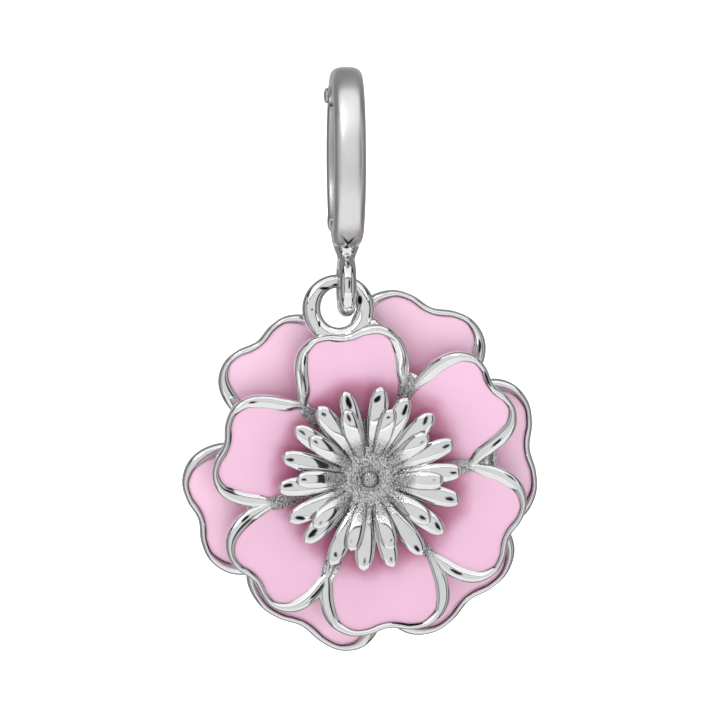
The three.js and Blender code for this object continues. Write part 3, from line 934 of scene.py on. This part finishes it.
def lower_petals():
    """The back casting with the boss behind it, and the enamel in its cells."""
    castings = [petal_casting(petal, LOWER_LAYER) for petal in LOWER_PETALS]
    shells = [(verts + LOWER_SHIFT, faces) for verts, faces, _ in castings]
    painted_shade_and_reflection = np.concatenate([dark for _, _, dark in castings])
    boss = lathe(
        [
            (0, BACK_LEVEL + 0.4),
            (1.0, BACK_LEVEL + 0.4),
            (1.05, BACK_LEVEL + 0.36),
            (1.05, BACK_LEVEL + 0.03),
            (1.08, BACK_LEVEL),
            (2.94, BACK_LEVEL),
            (3.0, BACK_LEVEL + 0.06),
            (3.0, -2.4),
            (2.2, -2.35),
            (2.2, -1.32),
            (0, -1.3),
        ],
        96,
    )
    verts, faces = merge([*shells, boss])
    painted_shade_and_reflection = np.concatenate([painted_shade_and_reflection, np.zeros(len(verts) - len(painted_shade_and_reflection))])
    # Painted dark reflections along the rims
    lines = rim_reflection_marks(LOWER_PETALS, LOWER_LAYER, LOWER_RIM_REFLECTIONS)
    painted_shade_and_reflection = np.maximum(painted_shade_and_reflection, spots(verts - LOWER_SHIFT, lines))
    piece(
        "back_petal_casting", stand_up(verts), faces, SILVER, "flower",
        ["lower_petals"], painted_shade_and_reflection=painted_shade_and_reflection,
    )
    for i, petal in enumerate(LOWER_PETALS):
        verts, faces = petal_enamel(petal, LOWER_LAYER)
        name = f"lower_enamel_{i + 1}"
        piece(
            f"back_cell_{i + 1}", stand_up(verts + LOWER_SHIFT), faces, SHADED_PINK, "flower",
            [name],
        )


def centre_rivet():
    """The stem between the layers, spread into a low dome in the back's recess."""
    tail = [
        (0, BACK_LEVEL + 0.02),
        *[
            (0.98 * math.sin(t), BACK_LEVEL + 0.14 - 0.12 * math.cos(t))
            for t in np.linspace(0.15, math.pi / 2, 10)
        ],
        (0.98, BACK_LEVEL + 0.33),
        (0.7, BACK_LEVEL + 0.36),
        (0.7, -0.47),
        (0, -0.45),
    ]
    verts, faces = lathe(tail, 64)
    piece(
        "centre_stem", stand_up(verts), faces, SILVER, "flower", ["centre_rivet"]
    )


# ---- Hanging loop ----


def hanging_loop():
    """The round loop, the saddle on the top petal's rim that carries it, and painted dark
    reflections and painted shade on it.
    """
    from_flower = LOOP_MIDDLE - FLOWER
    middle = np.array([from_flower[0], from_flower[2], -from_flower[1]])
    lean = math.radians(LOOP_LEAN)
    wire = np.arange(36) / 36 * 2 * math.pi
    section_in = np.sign(np.cos(wire)) * np.abs(np.cos(wire)) ** 0.92
    section_out = np.sign(np.sin(wire)) * np.abs(np.sin(wire)) ** 0.85
    rings = []
    for t in np.arange(96) / 96 * 2 * math.pi:
        band = LOOP_SIDE_BAND + (LOOP_TOP_BAND - LOOP_SIDE_BAND) * max(0, math.sin(t)) ** 2
        across = (LOOP_HALF[0] + band * section_in) * math.cos(t)
        up = (LOOP_HALF[1] + band * section_in) * math.sin(t)
        out = LOOP_WIRE * section_out
        leant_up = up * math.cos(lean) + out * math.sin(lean)
        leant_out = out * math.cos(lean) - up * math.sin(lean)
        rings.append(np.stack([across, leant_up, leant_out], axis=1) + middle)
    # Solder that fills the corner between the loop's right foot and the rim
    corner = [((0.2, 9.1, -0.1), 0.4), ((0.6, 8.9, 0.1), 0.34), ((1.0, 8.7, 0.3), 0.26)]
    fillet = [ball(place, (size, size, size)) for place, size in corner]
    verts, faces = fuse([skin(rings), saddle(), *fillet], voxel=0.045, smoothing=16)
    # Painted dark reflections on the loop, and one strip of painted shade
    marks = [
        (middle + (-0.85, 1.25, 0.0), (0.34, 0.1, 0.8)),
        (middle + (-0.2, 1.45, 0.0), (0.16, 0.07, 0.8)),
        (middle + (1.28, 0.55, 0.3), (0.15, 0.3, 0.7)),
        (middle + (-1.2, -0.85, 0.3), (0.1, 0.24, 0.7)),
        (middle + (-1.62, 0.0, 0.4), (0.05, 0.08, 0.4)),
        (middle + (2.1, -1.25, 0.8), (0.5, 0.09, 0.6)),
    ]
    piece(
        "hanging_loop_cast", stand_up(verts), faces, SILVER, "flower",
        ["hanging_loop"], painted_shade_and_reflection=spots(verts, marks),
    )


def saddle():
    """A bead that thickens the top petal's rim where the loop stands on it."""
    crest = petal_ring(UPPER_PETALS[0], UPPER_LAYER, 0.4, 0, 0, 0.02)
    top = np.argmax(crest[:, 1])
    reach = 26
    path = crest[np.arange(top - reach, top + reach + 1) % len(crest)]
    around = np.arange(20) / 20 * 2 * math.pi
    rings = []
    for i, point in enumerate(path):
        ahead = path[min(i + 1, len(path) - 1)] - path[max(i - 1, 0)]
        side = np.cross(ahead, (0, 0, 1))
        side /= np.linalg.norm(side)
        up = np.cross(side, ahead)
        up /= np.linalg.norm(up)
        fat = 0.12 + 0.2 * math.cos((i / (len(path) - 1) - 0.5) * math.pi)
        rings.append(point + fat * (np.outer(np.cos(around), side) + np.outer(np.sin(around), up)))
    return outwards(*skin(rings, path[0], path[-1]))


# ---- Stamens ----


def wobble(index, seed):
    """A steady small number between -1 and 1 for each index."""
    return math.sin(12.9898 * (index + 1) + 78.233 * seed) * math.cos(4.1414 * (index + 2) * seed)


# A stamen's width along its length: share of the length and of the full width
STAMEN_LEAF = [
    (0, 0.4),
    (0.2, 0.66),
    (0.45, 0.93),
    (0.63, 1.0),
    (0.78, 0.9),
    (0.91, 0.58),
    (1.0, 0.0),
]
STAMEN_FLATNESS = 0.48
PIT_DEPTH = 0.03
OUTER_STAMENS = 18
INNER_STAMENS = 10


def stamen(turn, root, tip, half_width, seed, pit):
    """One stamen: a leaf that rises from its root to a rounded tip, near which it has a pit."""
    path = np.array([root, (np.add(root, tip) / 2) + (0, 0.12), tip])
    line = catmull_rom(path, 34, closed=False)
    share = np.linspace(0, 1, len(line))
    leaf = catmull_rom(STAMEN_LEAF, 12, closed=False)
    fat = half_width * np.interp(share, leaf[:, 0], leaf[:, 1])
    around = np.arange(48) / 48 * 2 * math.pi
    side = np.sign(np.cos(around)) * np.abs(np.cos(around)) ** 0.9
    pit_at = 0.82 + 0.05 * wobble(seed, 9.0)
    pit_length = 0.085 + 0.035 * wobble(seed, 13.0)
    pit_width = 0.3 + 0.1 * wobble(seed, 14.0)
    drift, slant = 0.3 * wobble(seed, 10.0), 4.0 * wobble(seed, 11.0)
    rings, dark = [], []
    for i in range(1, len(line) - 1):
        ahead = line[i + 1] - line[i - 1]
        ahead /= np.linalg.norm(ahead)
        off_middle = (side - drift - slant * (share[i] - pit_at)) / pit_width
        hollow = pit * np.exp(-(((share[i] - pit_at) / pit_length) ** 2) - off_middle**2)
        hollow *= np.sin(around) > 0
        height = fat[i] * STAMEN_FLATNESS * np.sin(around) - PIT_DEPTH * hollow
        outward, level = line[i][0] - height * ahead[1], line[i][1] + height * ahead[0]
        rings.append(np.stack([outward, fat[i] * side, level], axis=1))
        # Painted shade down the stamen's flanks, and painted dark reflection in its pit
        flank_shade = 0.45 * (1 - smoothstep(np.sin(around), 0.05, 0.35))
        dark.append(np.maximum(smoothstep(hollow, 0.42, 0.62), flank_shade))
    first, last = (line[0][0], 0, line[0][1]), (line[-1][0], 0, line[-1][1])
    verts, faces = outwards(*skin(rings, first, last))
    angle = math.radians(turn)
    x = verts[:, 0] * math.cos(angle) - verts[:, 1] * math.sin(angle)
    y = verts[:, 0] * math.sin(angle) + verts[:, 1] * math.cos(angle)
    painted_shade_and_reflection = np.concatenate([np.ravel(dark), [0, 0]])
    return np.stack([x, y, verts[:, 2]], axis=1), faces, painted_shade_and_reflection


def stamen_crown():
    """The outer and the inner ring of stamens over their granulated dish."""
    made = []
    for i in range(OUTER_STAMENS):
        turn = 5 + i * 360 / OUTER_STAMENS + 1.8 * wobble(i, 1.0)
        tip = (5.52 + 0.14 * wobble(i, 2.0), 1.15 + 0.1 * wobble(i, 3.0))
        pit = 0.8 + 0.35 * wobble(i, 12.0)
        made.append(stamen(turn, (1.4, 0.35), tip, 0.62 + 0.03 * wobble(i, 4.0), i, pit))
    for i in range(INNER_STAMENS):
        turn = 1 + i * 360 / INNER_STAMENS + 2.5 * wobble(i, 5.0)
        tip = (4.5 + 0.14 * wobble(i, 6.0), 1.52 + 0.08 * wobble(i, 7.0))
        pit = 0.55 + 0.3 * wobble(i, 12.0)
        made.append(stamen(turn, (1.3, 0.55), tip, 0.56 + 0.03 * wobble(i, 8.0), i + 40, pit))
    dish, dish_faces = crown_dish()
    verts, faces = merge([*[(v, f) for v, f, _ in made], (dish, dish_faces)])
    grain = fade_out(verts, 1.9, 2.9)
    grain[-len(dish):] = 1
    # Painted shade and painted dark reflections on the stamens and the dish
    painted_shade_and_reflection = np.concatenate([*[t for _, _, t in made], dish_painted_shade(dish)])
    piece(
        "stamen_crown_cast", stand_up(verts + CROWN_SHIFT), faces, SILVER, "flower",
        ["stamen_crown"], grain, painted_shade_and_reflection,
    )


# The granulated dish between the stamens: level by radius, with a nub in the middle
DISH_RADIUS = 3.6
DISH_POINTS = 420
DISH_STEP = 0.045
DISH_LEVELS = [
    (0, 1.0),
    (0.25, 0.98),
    (0.42, 0.88),
    (0.52, 0.68),
    (0.66, 0.64),
    (1.1, 0.74),
    (1.7, 0.64),
    (2.4, 0.5),
    (3.6, 0.5),
]


def crown_dish():
    """A round sheet of fine beads over a smooth back."""
    curve = catmull_rom(DISH_LEVELS, 8, closed=False)
    radii = np.arange(0.04, DISH_RADIUS, DISH_STEP)[::-1]
    back = [(2.6, -0.2), (3.5, -0.02)]
    front = zip(radii, np.interp(radii, curve[:, 0], curve[:, 1]))
    turn = np.arange(DISH_POINTS) / DISH_POINTS * 2 * math.pi
    rings = []
    for radius, level in [*back, *front]:
        levels = np.full(DISH_POINTS, level)
        rings.append(np.stack([radius * np.cos(turn), radius * np.sin(turn), levels], axis=1))
    rings = np.array(rings)
    flat = rings[2:].reshape(-1, 3)
    rings[2:, :, 2] += BEAD_RELIEF * (beads(flat, BEAD_SIZE).reshape(rings[2:].shape[:2]) - 0.5)
    return skin(rings, (0, 0, -0.24), (0, 0, DISH_LEVELS[0][1]))


def dish_painted_shade(verts):
    """Painted shade: dark in the groove round the nub and, faintly, in the corners between the
    stamens.
    """
    radius = np.hypot(verts[:, 0], verts[:, 1])
    groove = 0.3 * np.exp(-(((radius - 0.6) / 0.13) ** 2))
    return np.maximum(groove, 0.5 * smoothstep(radius, 1.9, 3.1))


# ---- Studio ----


def floor():
    """A plain pale floor a little below the hanging charm."""
    half = 1.5
    level = CAD_BOUNDS[0][2] - 0.02
    corners = [(x * half, y * half, level) for x, y in ((-1, -1), (1, -1), (1, 1), (-1, 1))]
    made = new_object("studio_floor", corners, [(0, 1, 2, 3)])
    material = bpy.data.materials.new("pale_floor")
    material.use_nodes = True
    n = Nodes(material.node_tree)
    place = n.add("ShaderNodeTexCoord").outputs["Object"]
    cloud = n.add("ShaderNodeTexNoise", {"Vector": place, "Scale": 3.0, "Detail": 2.0})
    colour = n.ramp(cloud.outputs["Fac"], [(0.0, (0.93, 0.93, 0.93)), (1.0, (0.96, 0.96, 0.96))])
    shader = n.add(
        "ShaderNodeBsdfPrincipled",
        {
            "Base Color": colour,
            "Roughness": 0.9,
            "Emission Color": (1, 1, 1, 1),
            "Emission Strength": 1.2,
        },
    )
    n.add("ShaderNodeOutputMaterial", {"Surface": shader.outputs["BSDF"]})
    made.data.materials.append(material)
    made.visible_glossy = False


def world():
    """A dim room round the softboxes. Seen directly it is plain white."""
    made = bpy.data.worlds.new("studio")
    bpy.context.scene.world = made
    made.use_nodes = True
    n = Nodes(made.node_tree)
    seen = n.add("ShaderNodeLightPath").outputs["Is Camera Ray"]
    way = n.add("ShaderNodeTexCoord").outputs["Generated"]
    facing = n.add("ShaderNodeVectorMath", {0: way, 1: (0, -1, 0)}, operation="DOT_PRODUCT")
    share = n.add("ShaderNodeMapRange", {"Value": facing.outputs["Value"], "From Min": -1.0})
    dark, mid = (0.035, 0.035, 0.035), (0.26, 0.26, 0.26)
    stops = [(0.0, dark), (0.04, dark), (0.08, mid), (0.44, mid), (0.48, dark), (1.0, dark)]
    room = n.ramp(share.outputs["Result"], stops)
    lit = n.add("ShaderNodeBackground", {"Color": room, "Strength": 1.0})
    plain = n.add("ShaderNodeBackground", {"Color": (1, 1, 1, 1), "Strength": 1.0})
    both = n.add("ShaderNodeMixShader", {0: seen, 1: lit.outputs[0], 2: plain.outputs[0]})
    n.add("ShaderNodeOutputWorld", {"Surface": both.outputs[0]})


# Softboxes: azimuth and elevation as seen from the charm, half angles across and up, and brightness
SOFTBOXES = {
    "front_card": (-5, 2, 39, 27, 0.78),
    "top_box": (0, 61, 40, 26, 1.05),
    "top_edge": (0, 34.5, 36, 1.6, 1.5),
    "low_box": (0, -62, 44, 32, 0.98),
    "low_edge": (0, -28.5, 40, 1.6, 1.4),
    "left_strip": (-66, 0, 17, 34, 0.48),
    "right_strip": (66, 0, 17, 34, 0.48),
    "back_card": (180, 0, 30, 30, 0.5),
    "key": (-25, 40, 5, 5, 9.0),
}
SOFTBOX_DISTANCE = 0.6


def direction(azimuth, elevation):
    """The way from the charm at an azimuth from its front and an elevation, both in degrees."""
    turn, rise = math.radians(azimuth), math.radians(elevation)
    level = math.cos(rise)
    return Vector((math.sin(turn) * level, -math.cos(turn) * level, math.sin(rise)))


def softbox(name, azimuth, elevation, half_across, half_up, brightness):
    """A rectangular light that shines at the charm and that the camera doesn't see."""
    way = direction(azimuth, elevation)
    light = bpy.data.lights.new(name, "AREA")
    light.shape = "RECTANGLE"
    light.size = 2 * SOFTBOX_DISTANCE * math.tan(math.radians(half_across))
    light.size_y = 2 * SOFTBOX_DISTANCE * math.tan(math.radians(half_up))
    light.energy = brightness * math.pi * light.size * light.size_y
    made = bpy.data.objects.new(name, light)
    bpy.context.scene.collection.objects.link(made)
    middle = Vector((0, 0, (CAD_BOUNDS[0][2] + CAD_BOUNDS[1][2]) / 2))
    made.location = middle + way * SOFTBOX_DISTANCE
    made.visible_camera = False
    made.rotation_euler = way.to_track_quat("Z", "Y").to_euler()


CAMERA_AZIMUTH = -4
CAMERA_ELEVATION = 5
CAMERA_DISTANCE = 0.9
# From the middle of the CAD box to the point that the camera looks at
CAMERA_AIM = Vector((-0.1, 0, -0.16)) * MM


def camera():
    """A long lens at the photograph's viewing angle."""
    low, high = (Vector(corner) for corner in CAD_BOUNDS)
    target = (low + high) / 2
    target.y = 0
    target += CAMERA_AIM
    back = direction(CAMERA_AZIMUTH, CAMERA_ELEVATION)
    data = bpy.data.cameras.new("camera")
    data.lens = 750
    data.sensor_width = 36
    data.clip_start = 0.01
    made = bpy.data.objects.new("camera", data)
    bpy.context.scene.collection.objects.link(made)
    made.location = target + back * CAMERA_DISTANCE
    made.rotation_euler = (-back).to_track_quat("-Z", "Y").to_euler()
    bpy.context.scene.camera = made


camera()
bail_front()
bail_gate()
hinge_pin()
upper_petals()
lower_petals()
centre_rivet()
hanging_loop()
stamen_crown()
floor()
world()
for name, setting in SOFTBOXES.items():
    softbox(name, *setting)
bpy.context.scene.view_settings.view_transform = "Standard"
